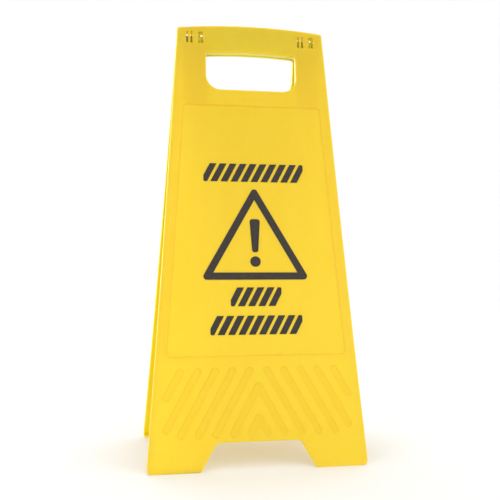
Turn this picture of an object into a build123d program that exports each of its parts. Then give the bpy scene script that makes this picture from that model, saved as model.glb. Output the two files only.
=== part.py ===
from build123d import *

import os
from math import cos, radians, sin, sqrt, tan

# A folding A-frame floor sign: two identical moulded sheets joined by a pin at each top corner.
# Each sheet is modelled flat (X across, Y up the sheet, Z outwards from its printed face), then
# stood up twice, the second time turned half a turn about the vertical.
# World frame: origin on the floor at the middle of the four feet, +Z up, front sheet towards -Y.

# ---- Sheet outline (mm) ----
sheet_height = 620.0
foot_half_width = 150.6
top_half_width = 106.4
side_bow = 1.4            # how far each long side is drawn in at mid height
crown_rise = 6.3          # how far the top edge arches above its corners
top_corner_radius = 3.0
foot_corner_radius = 7.0

# ---- Cut-out between the feet ----
notch_height = 37.5
notch_top_half_width = 57.5
notch_floor_half_width = 79.0
notch_top_radius = 11.0
notch_floor_radius = 5.5

# ---- Hand-hole ----
hole_half_width = 65.8
hole_bottom = 529.2
hole_side_top = 583.5
hole_crown = 586.2
hole_bottom_radius = 21.0
hole_top_radius = 4.0

# ---- Moulding ----
wall = 2.0
rim_depth = 9.8
edge_round = 1.2
sole_thickness = 4.0

# ---- Set-back message area ----
message_bottom = 150.2
message_top = 507.0
message_border = 13.5
message_corner_radius = 7.0
message_depth = 1.5
message_backing = 4.0     # how far the thickened back reaches past the area's edge
step_slope = 55.0         # draft of the stepped edges, degrees

# ---- Chevron grooves above the feet ----
groove_width = 11.0
groove_depth = 1.0
groove_pitch = 23.5       # measured across the sheet
groove_lean = 29.3        # degrees from straight up
groove_top = 131.5
groove_bottom = 48.5
groove_side_limit = 124.5
first_groove = 11.8       # distance from the middle of the first full groove's top end
grooves_each_side = 5
middle_grooves = 2        # further grooves on each side, whose top ends stop at the middle
groove_backing = 1.4      # how much wider the raised back of each groove is, on each side

# ---- Stance and hinge ----
lean = 8.6                # each sheet's lean from upright when open, degrees
top_gap = 16.0            # between the two printed faces at the top corners when open
stop_clearance = 0.2      # between the two top rims when open
axis_height = 606.0       # hinge axis, measured up the sheet
outer_station = 89.5      # the two places on each side where the sheets interleave
inner_station = 73.5
pin_radius = 2.5
bore_radius = 2.57
knuckle_radius = 5.0
lug_web = 3.0
lug_barrel = 6.4
cheek_gap = 7.0
cheek_thickness = 2.5
window_height = 17.0
window_round = 0.9
lug_slot_width = 3.0
rib_thickness = 2.0
rib_depth = 5.5

# ---- Hinge pins ----
pin_end_gap = 0.3
pin_head_radius = 4.0
pin_head_thickness = 1.8
pin_head_chamfer = 0.3
pin_tip_length = 3.0
pin_tip_radius = 2.9
pin_split_width = 1.2
pin_split_length = 9.0

# ---- Printed marks ----
ink_thickness = 0.15
triangle_centre = 300.0
triangle_side = 153.5
triangle_band = 10.1
triangle_corner_radius = 4.9
mark_bottom = 281.0
mark_dot_radius = 7.4
mark_bar_bottom = 294.0
mark_bar_height = 47.0
mark_bar_low_width = 8.5
mark_bar_high_width = 15.0
mark_bar_corner_radius = 3.7
bar_height = 26.0
bar_corner_radius = 2.0
bar_rows = ((407.5, 10), (232.0, 5), (193.0, 9))   # height of each row's middle, stripes in it
stripe_pitch = 14.3
stripe_width = 8.6
stripe_lean = 28.0

# Worked-out values.
lean_sin = sin(radians(lean))
lean_cos = cos(radians(lean))
face_gap_at_axis = top_gap / 2 + (sheet_height - axis_height) * lean_sin
axis_depth = face_gap_at_axis / lean_cos
axis_up = axis_height * lean_cos - axis_depth * lean_sin    # hinge axis above the floor
triangle_radius = triangle_side / sqrt(3)                   # from the triangle's centre to a corner
stations = (
    (-outer_station, "lug"),
    (-inner_station, "fork"),
    (inner_station, "lug"),
    (outer_station, "fork"),
)


def half_width(height):
    """Half the sheet's width at a height measured up the sheet."""
    part_way = height / sheet_height
    straight = foot_half_width + (top_half_width - foot_half_width) * part_way
    return straight - 4 * side_bow * part_way * (1 - part_way)


def near(corners, x, y):
    """The corners of a sketch beside (x, y) and beside its mirror image (-x, y)."""
    reach = 2 * wall
    return [corner for corner in corners if abs(abs(corner.X) - x) < reach and abs(corner.Y - y) < reach]


def sheet_outline(inset=0.0):
    """The sheet's outline with the cut-out between its feet."""
    with BuildSketch() as outline:
        with BuildLine():
            middle = sheet_height / 2
            top_left = (-top_half_width, sheet_height)
            top_right = (top_half_width, sheet_height)
            ThreePointArc((foot_half_width, 0), (half_width(middle), middle), top_right)
            ThreePointArc(top_right, (0, sheet_height + crown_rise), top_left)
            ThreePointArc(top_left, (-half_width(middle), middle), (-foot_half_width, 0))
            Polyline(
                (-foot_half_width, 0),
                (-notch_floor_half_width, 0),
                (-notch_top_half_width, notch_height),
                (notch_top_half_width, notch_height),
                (notch_floor_half_width, 0),
                (foot_half_width, 0),
            )
        make_face()
        if inset > 0:
            offset(amount=-inset, kind=Kind.INTERSECTION)
        fillet(near(outline.vertices(), top_half_width, sheet_height), top_corner_radius - inset)
        fillet(near(outline.vertices(), foot_half_width, 0), foot_corner_radius - inset)
        fillet(near(outline.vertices(), notch_top_half_width, notch_height), notch_top_radius + inset)
        fillet(near(outline.vertices(), notch_floor_half_width, 0), notch_floor_radius - inset)
    return outline.sketch


def hand_hole(grown=0.0):
    """The hand-hole's outline, with a gently arched top edge."""
    with BuildSketch() as hole:
        with BuildLine():
            top_left = (-hole_half_width, hole_side_top)
            top_right = (hole_half_width, hole_side_top)
            Polyline(top_left, (-hole_half_width, hole_bottom), (hole_half_width, hole_bottom), top_right)
            ThreePointArc(top_right, (0, hole_crown), top_left)
        make_face()
        if grown > 0:
            offset(amount=grown, kind=Kind.INTERSECTION)
        fillet(near(hole.vertices(), hole_half_width, hole_bottom), hole_bottom_radius + grown)
        fillet(near(hole.vertices(), hole_half_width, hole_side_top), hole_top_radius + grown)
    return hole.sketch


def message_area(grown=0.0):
    """The set-back message area, whose sides follow the sheet's."""
    middle = (message_bottom + message_top) / 2
    low = half_width(message_bottom) - message_border
    centre = half_width(middle) - message_border
    high = half_width(message_top) - message_border
    with BuildSketch() as area:
        with BuildLine():
            Line((-low, message_bottom), (low, message_bottom))
            ThreePointArc((low, message_bottom), (centre, middle), (high, message_top))
            Line((high, message_top), (-high, message_top))
            ThreePointArc((-high, message_top), (-centre, middle), (-low, message_bottom))
        make_face()
        if grown > 0:
            offset(amount=grown, kind=Kind.INTERSECTION)
        fillet(area.vertices(), message_corner_radius + grown)
    return area.sketch


def groove_ends():
    """Both ends of each groove's centre line on the +X side, from the middle of the sheet outwards."""
    slope = tan(radians(groove_lean))
    ends = []
    for step in range(-middle_grooves, grooves_each_side):
        top_across = first_groove + step * groove_pitch
        top = groove_top + min(top_across, 0) / slope
        top_across = max(top_across, 0)
        bottom = max(groove_bottom, top - (groove_side_limit - top_across) / slope)
        bottom_across = top_across + (top - bottom) * slope
        ends.append(((top_across, top), (bottom_across, bottom)))
    return ends


def grooves(width):
    """All the round-ended grooves, the same on both sides of the middle."""
    with BuildSketch() as pattern:
        for (top_across, top), (bottom_across, bottom) in groove_ends():
            length = (top - bottom) / cos(radians(groove_lean))
            with Locations(((top_across + bottom_across) / 2, (top + bottom) / 2)):
                SlotCenterToCenter(length, width, rotation=groove_lean - 90)
        mirror(about=Plane.YZ)
    return pattern.sketch


def windows():
    """The openings in the face that the hinge features are moulded through."""
    with BuildSketch() as openings:
        for station, kind in stations:
            if kind == "lug":
                slot_offset = (lug_web + lug_slot_width) / 2
                with Locations((station - slot_offset, axis_height), (station + slot_offset, axis_height)):
                    RectangleRounded(lug_slot_width, window_height, window_round)
            else:
                with Locations((station, axis_height)):
                    RectangleRounded(cheek_gap, window_height, window_round)
    return openings.sketch


def knuckle_side():
    """A knuckle's side shape, drawn with X up the sheet and Y outwards from its face."""
    root = -wall / 2
    with BuildSketch() as side:
        with Locations((axis_height, (root - axis_depth) / 2)):
            Rectangle(2 * knuckle_radius, root + axis_depth)
        with Locations((axis_height, -axis_depth)):
            Circle(knuckle_radius)
    return side.sketch


def axis_round(radius):
    """A circle on the hinge axis, drawn as the knuckle's side is."""
    with BuildSketch() as section:
        with Locations((axis_height, -axis_depth)):
            Circle(radius)
    return section.sketch


# ---- The moulding, flat ----
floor_plane = Plane(origin=(0, 0, 0), x_dir=(1, 0, 0), z_dir=(0, lean_cos, lean_sin))
middle_depth = top_gap / 2 - stop_clearance / 2
stop_plane = Plane(
    origin=(0, sheet_height + middle_depth * lean_sin, -middle_depth * lean_cos),
    x_dir=(1, 0, 0),
    z_dir=(0, -lean_sin, lean_cos),
)

with BuildPart() as sheet:
    # Face and rim in one block, its front edges rounded.
    with BuildSketch():
        add(sheet_outline())
        add(hand_hole(), mode=Mode.SUBTRACT)
    extrude(amount=-rim_depth)
    fillet(sheet.faces().sort_by(Axis.Z)[-1].edges(), edge_round)

    # Hollow back: what is left is the face, a rim around it, and thicker soles.
    with BuildSketch(Plane.XY.offset(-wall)):
        add(sheet_outline(wall))
        add(hand_hole(wall), mode=Mode.SUBTRACT)
        Rectangle(2 * foot_half_width, 2 * sole_thickness, mode=Mode.SUBTRACT)
    extrude(amount=-rim_depth, mode=Mode.SUBTRACT)

    # The set-back message area, with the back thickened behind it.
    with BuildSketch(Plane.XY.offset(-wall)):
        add(message_area(message_backing))
    extrude(amount=-message_depth, taper=step_slope)
    with BuildSketch():
        add(message_area())
    extrude(amount=-message_depth, taper=step_slope, mode=Mode.SUBTRACT)

    # Chevron grooves, with raised backs behind them.
    with BuildSketch(Plane.XY.offset(-wall)):
        add(grooves(groove_width + 2 * groove_backing))
    extrude(amount=-groove_depth, taper=step_slope)
    with BuildSketch():
        add(grooves(groove_width))
    extrude(amount=-groove_depth, taper=step_slope, mode=Mode.SUBTRACT)

    # Soles flat on the floor, and rims that meet at the top, when the sign stands open.
    split(bisect_by=floor_plane, keep=Keep.TOP)
    split(bisect_by=stop_plane, keep=Keep.TOP)

    # Hinge windows through the face.
    with BuildSketch():
        add(windows())
    extrude(amount=-wall, mode=Mode.SUBTRACT)

    # A rib under each hinge station stiffens the sheet beside the hand-hole.
    rib_height = axis_height - knuckle_radius - message_top
    with BuildSketch(Plane.XY.offset(-wall / 2)):
        for station, kind in stations:
            with Locations((station, message_top + rib_height / 2)):
                Rectangle(rib_thickness, rib_height)
    extrude(amount=-rib_depth - wall / 2)

    # Hinge knuckles: a lug with a barrel at one station of each side, a fork at the other.
    for station, kind in stations:
        if kind == "lug":
            with BuildSketch(Plane.YZ.offset(station - lug_web / 2)):
                add(knuckle_side())
            extrude(amount=lug_web)
            with BuildSketch(Plane.YZ.offset(station - lug_barrel / 2)):
                add(axis_round(knuckle_radius))
            extrude(amount=lug_barrel)
        else:
            for cheek_left in (station - cheek_gap / 2 - cheek_thickness, station + cheek_gap / 2):
                with BuildSketch(Plane.YZ.offset(cheek_left)):
                    add(knuckle_side())
                extrude(amount=cheek_thickness)

    # One bore along the hinge axis through every knuckle of each side.
    bore_length = outer_station - inner_station + 2 * (cheek_gap + cheek_thickness)
    for middle_station in (-outer_station, inner_station):
        with BuildSketch(Plane.YZ.offset(middle_station - cheek_gap - cheek_thickness)):
            add(axis_round(bore_radius))
        extrude(amount=bore_length, mode=Mode.SUBTRACT)

# ---- Hinge pins: pushed outwards from behind the handle, headed inside, with a split snap tip ----
pin_head_end = inner_station - cheek_gap / 2 - cheek_thickness - pin_end_gap
pin_shaft_end = outer_station + cheek_gap / 2 + cheek_thickness + pin_end_gap
pin_end = pin_shaft_end + pin_tip_length
pin_plane = Plane(origin=(0, 0, axis_up), x_dir=(1, 0, 0), z_dir=(0, -1, 0))

with BuildPart() as right_hinge_pin:
    with BuildSketch(pin_plane):
        with BuildLine():
            Polyline(
                (pin_head_end - pin_head_thickness, 0),
                (pin_head_end - pin_head_thickness, pin_head_radius),
                (pin_head_end, pin_head_radius),
                (pin_head_end, pin_radius),
                (pin_shaft_end, pin_radius),
                (pin_shaft_end, pin_tip_radius),
                (pin_end, pin_radius - pin_split_width / 2),
                (pin_end, 0),
                close=True,
            )
        make_face()
    revolve(axis=Axis((0, 0, axis_up), (1, 0, 0)))
    with BuildSketch(Plane.YZ.offset(pin_end)):
        with Locations((0, axis_up)):
            Rectangle(pin_split_width, 2 * pin_head_radius)
    extrude(amount=-pin_split_length, mode=Mode.SUBTRACT)
    chamfer(right_hinge_pin.faces().sort_by(Axis.X)[0].edges(), pin_head_chamfer)

with BuildPart() as left_hinge_pin:
    add(right_hinge_pin.part)
    mirror(about=Plane.YZ, mode=Mode.REPLACE)

# ---- Printed marks, flat, on the floor of the message area ----
ink_plane = Plane.XY.offset(-message_depth)

with BuildPart() as warning_triangle:
    # A plain triangle ring.
    with BuildSketch(ink_plane) as ring:
        with Locations((0, triangle_centre)):
            RegularPolygon(triangle_radius, 3, rotation=90)
            fillet(ring.vertices(), triangle_corner_radius)
            RegularPolygon(triangle_radius - 2 * triangle_band, 3, rotation=90, mode=Mode.SUBTRACT)
    extrude(amount=ink_thickness)
    # A plain exclamation mark inside it: a dot under a tapered bar.
    with BuildSketch(ink_plane):
        with Locations((0, mark_bottom)):
            Circle(mark_dot_radius)
    extrude(amount=ink_thickness)
    with BuildSketch(ink_plane) as mark_bar:
        with BuildLine():
            Polyline(
                (-mark_bar_low_width / 2, mark_bar_bottom),
                (mark_bar_low_width / 2, mark_bar_bottom),
                (mark_bar_high_width / 2, mark_bar_bottom + mark_bar_height),
                (-mark_bar_high_width / 2, mark_bar_bottom + mark_bar_height),
                close=True,
            )
        make_face()
        fillet(mark_bar.vertices(), mark_bar_corner_radius)
    extrude(amount=ink_thickness)

uncut_stripe = 2 * bar_height
with BuildPart() as message_bars:
    # Rows of slanted stripes where a message would be, each row trimmed to a rounded bar.
    with BuildSketch(ink_plane):
        for row_middle, stripes in bar_rows:
            with BuildSketch(mode=Mode.PRIVATE) as row:
                with GridLocations(stripe_pitch, 0, stripes, 1):
                    Rectangle(stripe_width, uncut_stripe, rotation=-stripe_lean)
                row_width = stripes * stripe_pitch
                RectangleRounded(row_width, bar_height, bar_corner_radius, mode=Mode.INTERSECT)
            with Locations((0, row_middle)):
                add(row.sketch)
    extrude(amount=ink_thickness)

# ---- Stand the flat pieces up, front and rear, and write every piece ----
foot_spread = top_gap / 2 + sheet_height * lean_sin    # from the middle to each printed face at the floor
front_place = Plane(origin=(0, -foot_spread, 0), x_dir=(1, 0, 0), z_dir=(0, -lean_cos, lean_sin))
rear_place = Plane(origin=(0, foot_spread, 0), x_dir=(-1, 0, 0), z_dir=(0, lean_cos, lean_sin))
flat_pieces = (("panel", sheet), ("warning_triangle", warning_triangle), ("message_bars", message_bars))

os.makedirs("parts", exist_ok=True)
for side, place in (("front", front_place), ("rear", rear_place)):
    for name, flat in flat_pieces:
        with BuildPart() as piece:
            with Locations(place.location):
                add(flat.part)
        piece.part.label = f"{side}_{name}"
        export_step(piece.part, f"parts/{side}_{name}.step")

left_hinge_pin.part.label = "left_hinge_pin"
export_step(left_hinge_pin.part, "parts/left_hinge_pin.step")
right_hinge_pin.part.label = "right_hinge_pin"
export_step(right_hinge_pin.part, "parts/right_hinge_pin.step")
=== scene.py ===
from math import cos, pi, radians, sin

import bpy
from mathutils import Matrix, Vector


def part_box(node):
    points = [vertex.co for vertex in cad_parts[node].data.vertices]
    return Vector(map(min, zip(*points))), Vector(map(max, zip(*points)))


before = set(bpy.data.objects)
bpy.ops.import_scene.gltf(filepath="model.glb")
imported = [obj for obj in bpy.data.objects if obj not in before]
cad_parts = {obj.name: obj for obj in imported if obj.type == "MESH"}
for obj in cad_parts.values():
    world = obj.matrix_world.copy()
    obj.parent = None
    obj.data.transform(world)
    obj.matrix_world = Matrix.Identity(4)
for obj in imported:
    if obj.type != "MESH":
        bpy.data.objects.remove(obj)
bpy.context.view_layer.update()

# A folding A-frame floor sign. The CAD sheets, pins and printed marks keep their shapes and get
# their finishes here: moulded polypropylene that scatters light, and satin ink. Lengths are in metres.

MM = 0.001

# ---- Camera: a standing sign seen from the left of its front face, from half its height ----
CAMERA_PLACE = Vector((-0.176, -1.045, 0.297))
CAMERA_YAW = 9.66       # degrees, turned from +Y towards +X
CAMERA_PITCH = -0.19
CAMERA_ROLL = 0.24
LENS_MM = 51.9
SENSOR_MM = 36.0


def place_camera():
    """A level camera, turned a little towards the sign's right side."""
    yaw, pitch, roll = radians(CAMERA_YAW), radians(CAMERA_PITCH), radians(CAMERA_ROLL)
    forward = Vector((sin(yaw) * cos(pitch), cos(yaw) * cos(pitch), sin(pitch)))
    level_right = Vector((cos(yaw), -sin(yaw), 0))
    level_up = level_right.cross(forward)
    right = cos(roll) * level_right + sin(roll) * level_up
    up = cos(roll) * level_up - sin(roll) * level_right
    data = bpy.data.cameras.new("camera")
    data.lens = LENS_MM
    data.sensor_width = SENSOR_MM
    data.clip_start = 0.01
    camera = bpy.data.objects.new("camera", data)
    bpy.context.collection.objects.link(camera)
    axes = Matrix((right, up, -forward)).transposed()
    camera.matrix_world = Matrix.Translation(CAMERA_PLACE) @ axes.to_4x4()
    bpy.context.scene.camera = camera


# ---- Node helpers ----
class Nodes:
    """A small wrapper that adds nodes to one material and links them."""

    def __init__(self, name):
        self.material = bpy.data.materials.new(name)
        self.material.use_nodes = True
        self.tree = self.material.node_tree
        self.tree.nodes.clear()
        self.output = self.add("ShaderNodeOutputMaterial")
        self.coordinates = self.add("ShaderNodeTexCoord").outputs["Object"]

    def add(self, kind, **settings):
        node = self.tree.nodes.new(kind)
        for key, value in settings.items():
            setattr(node, key, value)
        return node

    def link(self, source, target):
        self.tree.links.new(source, target)

    def stretched(self, x=1.0, y=1.0, z=1.0):
        """Object coordinates scaled by different amounts along each axis."""
        mapping = self.add("ShaderNodeMapping")
        mapping.inputs["Scale"].default_value = (x, y, z)
        self.link(self.coordinates, mapping.inputs["Vector"])
        return mapping.outputs["Vector"]

    def parts(self):
        """The object coordinates' x, y and z."""
        node = self.add("ShaderNodeSeparateXYZ")
        self.link(self.coordinates, node.inputs["Vector"])
        return node.outputs

    def noise(self, scale, detail=2.0, roughness=0.5, vector=None):
        node = self.add("ShaderNodeTexNoise")
        node.inputs["Scale"].default_value = scale
        node.inputs["Detail"].default_value = detail
        node.inputs["Roughness"].default_value = roughness
        self.link(vector or self.coordinates, node.inputs["Vector"])
        return node.outputs["Fac"]

    def remap(self, value, from_low, from_high, to_low, to_high):
        node = self.add("ShaderNodeMapRange")
        node.inputs["From Min"].default_value = from_low
        node.inputs["From Max"].default_value = from_high
        node.inputs["To Min"].default_value = to_low
        node.inputs["To Max"].default_value = to_high
        self.link(value, node.inputs["Value"])
        return node.outputs["Result"]

    def band(self, value, low, high, fade):
        """1 where a value lies between low and high, fading out on both sides."""
        rise = self.remap(value, low - fade, low + fade, 0.0, 1.0)
        fall = self.remap(value, high - fade, high + fade, 1.0, 0.0)
        return self.maths("MULTIPLY", rise, fall)

    def maths(self, operation, first, second):
        node = self.add("ShaderNodeMath", operation=operation)
        for socket, value in zip(node.inputs, (first, second)):
            if isinstance(value, (int, float)):
                socket.default_value = value
            else:
                self.link(value, socket)
        return node.outputs["Value"]

    def blend(self, factor, first, second):
        """A colour between two colours or colour sockets."""
        node = self.add("ShaderNodeMix", data_type="RGBA")
        sockets = (node.inputs[0], node.inputs[6], node.inputs[7])
        for socket, value in zip(sockets, (factor, first, second)):
            if isinstance(value, tuple):
                socket.default_value = (*value, 1.0)
            elif isinstance(value, (int, float)):
                socket.default_value = value
            else:
                self.link(value, socket)
        return node.outputs[2]

    def bump(self, height, distance, strength=1.0, normal=None):
        node = self.add("ShaderNodeBump")
        node.inputs["Strength"].default_value = strength
        node.inputs["Distance"].default_value = distance
        self.link(height, node.inputs["Height"])
        if normal:
            self.link(normal, node.inputs["Normal"])
        return node.outputs["Normal"]


# ---- Materials ----
YELLOW = (0.712, 0.500, 0.019)
# A deeper yellow: random clouds in the tone, and painted shade towards the top.
YELLOW_DEEP_AND_TOP_SHADE = (0.690, 0.470, 0.010)
YELLOW_PALE = (0.745, 0.545, 0.036)
# A darker yellow: the fine mottle and the ink's pinholes, and painted shade over the ribs, grooves and
# message step.
YELLOW_DARK_AND_SHADE = (0.66, 0.425, 0.008)
# A pale yellow painted on the inner rims, ribs and backs as painted light.
YELLOW_PAINTED_LIGHT = (0.96, 0.74, 0.055)
INK = (0.016, 0.010, 0.006)
INK_THIN = (0.035, 0.024, 0.016)
PAPER_DIM = (0.86, 0.86, 0.86)
PAPER_BRIGHT = (0.88, 0.88, 0.88)
PLASTIC_IOR = 1.49
INK_IOR = 1.45
SCATTER_DISTANCE = 9 * MM
SCATTER_REACH = (1.0, 0.90, 0.25)    # red light travels furthest inside the plastic

# The sheets' measures and stance, repeated from the CAD model, give how deep a point lies below a
# sheet's outer face.
LEAN = radians(8.6)
SHEET_HEIGHT = 620 * MM
TOP_GAP = 16 * MM
FOOT_SPREAD = TOP_GAP / 2 + SHEET_HEIGHT * sin(LEAN)
GROOVE_DEPTH = 1.0 * MM
MESSAGE_DEPTH = 1.5 * MM
MESSAGE_TOP = 507 * MM * cos(LEAN)
MESSAGE_BOTTOM = 150 * MM * cos(LEAN)

# Two heights between the grooves' top ends and the message area's bottom edge.
FIELD_FADE_LOW = MESSAGE_BOTTOM - 12 * MM
FIELD_FADE_HIGH = MESSAGE_BOTTOM - 6 * MM
COLUMN_FADE = 6 * MM
SOLE_WEAR_LOW = 2 * MM
SOLE_WEAR_HIGH = 22 * MM

# Tones painted by position, painted shade and painted light among them: 0 leaves the sheet's own
# colour, 1 replaces it.
COLUMN_SHADE = 0.55
GROOVE_SHADE = 0.34
STEP_SHADE = 0.42
INNER_PAINTED_LIGHT = 0.85
SOLE_RUB = 0.35

PANEL_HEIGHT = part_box("front_panel")[1].z
PIN_LOW, PIN_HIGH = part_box("right_hinge_pin")


def moulded_yellow():
    """Glossy polypropylene that scatters light, with flow marks, fine grain and scuffs, and painted
    shade and painted light.
    """
    n = Nodes("moulded_yellow")
    across, back, up = n.parts()
    inwards = n.maths("SUBTRACT", FOOT_SPREAD, n.maths("ABSOLUTE", back, 0.0))
    depth = n.maths("MULTIPLY", inwards, cos(LEAN))
    depth = n.maths("SUBTRACT", depth, n.maths("MULTIPLY", up, sin(LEAN)))
    clouds = n.noise(7.0, detail=3.0)
    flow = n.noise(9.0, detail=4.0, roughness=0.6, vector=n.stretched(x=4.0, y=1.0, z=0.6))
    mottle = n.noise(160.0, detail=3.0)

    # Painted shade darkens the colour towards the narrow top, where the sheets close in; soft clouds,
    # pale flow marks and a fine mottle vary the tone.
    high = n.remap(up, 0.25 * PANEL_HEIGHT, 0.85 * PANEL_HEIGHT, 0.0, 1.0)
    colour = n.blend(high, YELLOW, YELLOW_DEEP_AND_TOP_SHADE)
    colour = n.blend(n.remap(clouds, 0.35, 0.7, 0.0, 0.35), colour, YELLOW_DEEP_AND_TOP_SHADE)
    colour = n.blend(n.remap(flow, 0.45, 0.8, 0.0, 0.30), colour, YELLOW_PALE)
    colour = n.blend(n.remap(mottle, 0.55, 0.75, 0.0, 0.10), colour, YELLOW_DARK_AND_SHADE)

    # Painted shade: the ribs and knuckles behind the face show through as a darker column under each
    # pair of hinge windows, painted in.
    column = n.band(n.maths("ABSOLUTE", across, 0.0), PIN_LOW.x, PIN_HIGH.x, 3 * MM)
    shade = n.remap(up, MESSAGE_TOP - COLUMN_FADE, MESSAGE_TOP + COLUMN_FADE, 0.0, COLUMN_SHADE)
    colour = n.blend(n.maths("MULTIPLY", column, shade), colour, YELLOW_DARK_AND_SHADE)

    # Painted shade: the grooves, with raised backs behind them, and the message area's stepped edge are
    # painted darker, as the shade in these shallow recesses.
    sunk = n.remap(depth, 0.05 * GROOVE_DEPTH, 0.5 * GROOVE_DEPTH, 0.0, 1.0)
    below = n.remap(up, FIELD_FADE_LOW, FIELD_FADE_HIGH, GROOVE_SHADE, 0.0)
    colour = n.blend(n.maths("MULTIPLY", sunk, below), colour, YELLOW_DARK_AND_SHADE)
    step = n.band(depth, 0.25 * MESSAGE_DEPTH, 0.75 * MESSAGE_DEPTH, 0.2 * MESSAGE_DEPTH)
    above = n.remap(up, FIELD_FADE_LOW, FIELD_FADE_HIGH, 0.0, STEP_SHADE)
    colour = n.blend(n.maths("MULTIPLY", step, above), colour, YELLOW_DARK_AND_SHADE)

    # Painted light: rims, ribs, knuckles and backs, all deeper than the message area, are painted
    # paler, as if lit through from behind and below.
    painted_light = n.remap(depth, MESSAGE_DEPTH + 0.1 * MM, MESSAGE_DEPTH + 1.0 * MM, 0.0, INNER_PAINTED_LIGHT)
    colour = n.blend(painted_light, colour, YELLOW_PAINTED_LIGHT)

    # Fine scratches all over, and rubbed soles that are paler and duller close to the floor.
    scratches = n.noise(90.0, detail=3.0, vector=n.stretched(x=0.5, y=1.0, z=12.0))
    scuffed = n.remap(scratches, 0.66, 0.76, 0.0, 1.0)
    near_floor = n.remap(up, SOLE_WEAR_LOW, SOLE_WEAR_HIGH, 1.0, 0.0)
    rubbed = n.maths("MULTIPLY", near_floor, n.remap(mottle, 0.4, 0.6, 0.2, 1.0))
    colour = n.blend(n.maths("MULTIPLY", rubbed, SOLE_RUB), colour, YELLOW_PALE)
    worn = n.maths("MULTIPLY", n.maths("MAXIMUM", scuffed, rubbed), 0.14)
    roughness = n.maths("ADD", n.remap(clouds, 0.3, 0.7, 0.32, 0.40), worn)

    normal = n.bump(n.noise(14.0, detail=1.5), 1.2 * MM, 0.6)
    normal = n.bump(n.noise(1400.0), 0.06 * MM, 0.5, normal)
    normal = n.bump(scuffed, 0.04 * MM, 0.4, normal)

    plastic = n.add("ShaderNodeBsdfPrincipled")
    plastic.inputs["IOR"].default_value = PLASTIC_IOR
    plastic.inputs["Specular IOR Level"].default_value = 0.35
    plastic.inputs["Subsurface Weight"].default_value = 1.0
    plastic.inputs["Subsurface Radius"].default_value = SCATTER_REACH
    plastic.inputs["Subsurface Scale"].default_value = SCATTER_DISTANCE
    n.link(colour, plastic.inputs["Base Color"])
    n.link(roughness, plastic.inputs["Roughness"])
    n.link(normal, plastic.inputs["Normal"])
    n.link(plastic.outputs["BSDF"], n.output.inputs["Surface"])
    return n.material


def printed_ink():
    """Satin screen ink: near black, a little uneven, with faint pinholes and an orange-peel surface."""
    n = Nodes("printed_ink")
    mottle = n.noise(220.0, detail=4.0, roughness=0.6)
    pinholes = n.remap(n.noise(1500.0, detail=1.0), 0.70, 0.76, 0.0, 0.2)
    colour = n.blend(n.remap(mottle, 0.45, 0.75, 0.0, 0.8), INK, INK_THIN)
    colour = n.blend(pinholes, colour, YELLOW_DARK_AND_SHADE)
    ink = n.add("ShaderNodeBsdfPrincipled")
    ink.inputs["IOR"].default_value = INK_IOR
    n.link(colour, ink.inputs["Base Color"])
    n.link(n.remap(mottle, 0.3, 0.7, 0.40, 0.54), ink.inputs["Roughness"])
    n.link(n.bump(n.noise(900.0), 0.04 * MM, 0.6), ink.inputs["Normal"])
    n.link(ink.outputs["BSDF"], n.output.inputs["Surface"])
    return n.material


def pale_floor():
    """A plain matt studio paper."""
    n = Nodes("pale_floor")
    colour = n.blend(n.remap(n.noise(3.0), 0.3, 0.7, 0.0, 1.0), PAPER_DIM, PAPER_BRIGHT)
    paper = n.add("ShaderNodeBsdfPrincipled")
    paper.inputs["Roughness"].default_value = 0.9
    paper.inputs["Specular IOR Level"].default_value = 0.2
    n.link(colour, paper.inputs["Base Color"])
    n.link(paper.outputs["BSDF"], n.output.inputs["Surface"])
    return n.material


def dress(node, material):
    """Puts one material in every slot of a CAD node."""
    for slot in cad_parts[node].material_slots:
        slot.material = material


# ---- Studio ----
def sweep(material):
    """A paper sweep: flat under the sign, curving up well behind it."""
    half_width, front, bend, radius, height = 6.0, -4.0, 3.0, 2.0, 5.0
    steps = 24
    profile = [(front, 0.0), (bend, 0.0)]
    for step in range(1, steps + 1):
        angle = pi / 2 * step / steps
        profile.append((bend + radius * sin(angle), radius * (1 - cos(angle))))
    profile.append((bend + radius, height))
    points = [(side * half_width, y, z) for y, z in profile for side in (-1, 1)]
    faces = [(2 * i, 2 * i + 1, 2 * i + 3, 2 * i + 2) for i in range(len(profile) - 1)]
    mesh = bpy.data.meshes.new("studio_sweep")
    mesh.from_pydata(points, [], faces)
    mesh.shade_smooth()
    mesh.materials.append(material)
    paper = bpy.data.objects.new("studio_sweep", mesh)
    bpy.context.collection.objects.link(paper)


def softbox(name, place, target, size, power):
    """A square white area light pointing at a target, hidden from the camera."""
    data = bpy.data.lights.new(name, "AREA")
    data.size = size
    data.energy = power
    light = bpy.data.objects.new(name, data)
    light.location = place
    light.visible_camera = False
    light.rotation_euler = (Vector(target) - Vector(place)).to_track_quat("-Z", "Y").to_euler()
    bpy.context.collection.objects.link(light)


def studio():
    """Even white surroundings, with a softbox low on each side and a larger one behind the sign."""
    world = bpy.data.worlds.new("studio")
    world.use_nodes = True
    surroundings = world.node_tree.nodes["Background"]
    surroundings.inputs["Color"].default_value = (1.0, 1.0, 1.0, 1.0)
    surroundings.inputs["Strength"].default_value = 1.2
    bpy.context.scene.world = world
    feet = (0.0, 0.0, 0.05)
    upper_half = (0.0, 0.0, 0.4)
    softbox("left", (-1.3, -1.2, 0.35), feet, size=1.0, power=2.0)
    softbox("right", (1.3, -1.3, 0.35), feet, size=1.0, power=5.0)
    softbox("back", (-0.7, 1.8, 0.5), upper_half, size=1.4, power=12.0)
    bpy.context.scene.view_settings.view_transform = "Standard"


place_camera()
studio()
sweep(pale_floor())

yellow = moulded_yellow()
ink = printed_ink()
for node in ("front_panel", "rear_panel", "left_hinge_pin", "right_hinge_pin"):
    dress(node, yellow)
for side in ("front", "rear"):
    dress(side + "_warning_triangle", ink)
    dress(side + "_message_bars", ink)
